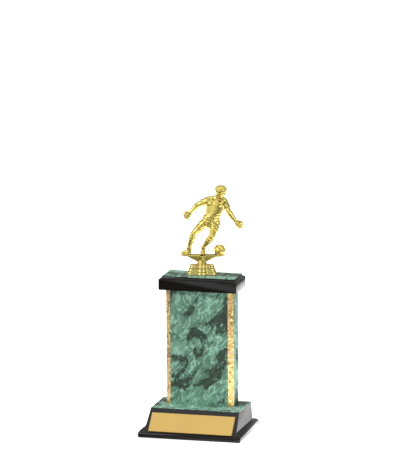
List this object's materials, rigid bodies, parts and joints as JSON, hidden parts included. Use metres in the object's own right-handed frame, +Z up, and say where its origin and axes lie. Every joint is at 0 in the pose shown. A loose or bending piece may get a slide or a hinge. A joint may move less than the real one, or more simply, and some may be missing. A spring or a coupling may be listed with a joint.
{
  "type": "figure trophy",
  "caption": "Column trophy with a stepped black base, a green marble-effect column with gold corners, and a gold footballer figure on top.",
  "frame": {"origin": "The middle of the underside of the base's felt, on the surface that the trophy stands on.", "axes": "+Z up, +X to the right as one faces the nameplate, +Y to the back; the nameplate faces -Y and up."},
  "size_m": [0.1226, 0.09, 0.2878],
  "materials": {
    "black_lacquer": "high-gloss black lacquer on fibreboard",
    "marble_laminate": "glossy laminate printed as green marble",
    "dark_felt": "thin dark felt",
    "satin_brass": "satin brass sheet, blank",
    "foam_tape": "thin adhesive tape",
    "fibreboard": "bare fibreboard",
    "marble_foil": "glossy foil printed as green marble",
    "prism_foil": "gold prism foil that breaks light into small coloured cells",
    "dowel_wood": "plain beech",
    "gold_plastic": "vacuum-metallised bright gold plastic",
    "zinc_steel": "zinc-plated steel",
    "brass_nut": "plain brass"
  },
  "bodies": {
    "stand": {"base_block": "black_lacquer", "base_laminate": "marble_laminate", "base_felt": "dark_felt", "nameplate": "satin_brass", "nameplate_tape": "foam_tape", "column_core": "fibreboard", "column_foil": "marble_foil", "corner_strip_front_left": "prism_foil", "corner_strip_front_right": "prism_foil", "corner_strip_back_left": "prism_foil", "corner_strip_back_right": "prism_foil", "locating_dowels": "dowel_wood", "cap_block": "black_lacquer", "cap_laminate": "marble_laminate", "riser": "gold_plastic"},
    "figure": {"player": "gold_plastic", "figure_stand": "gold_plastic", "football": "gold_plastic", "figure_nut": "brass_nut", "threaded_rod": "zinc_steel", "base_nut": "zinc_steel", "base_washer": "zinc_steel"}
  },
  "joints": [
    {"name": "figure_turn", "type": "hinge", "parent": "stand", "child": "figure", "pos_m": [0, 0.0179, 0.1952], "axis": [0, 0, 1], "continuous": true}
  ]
}
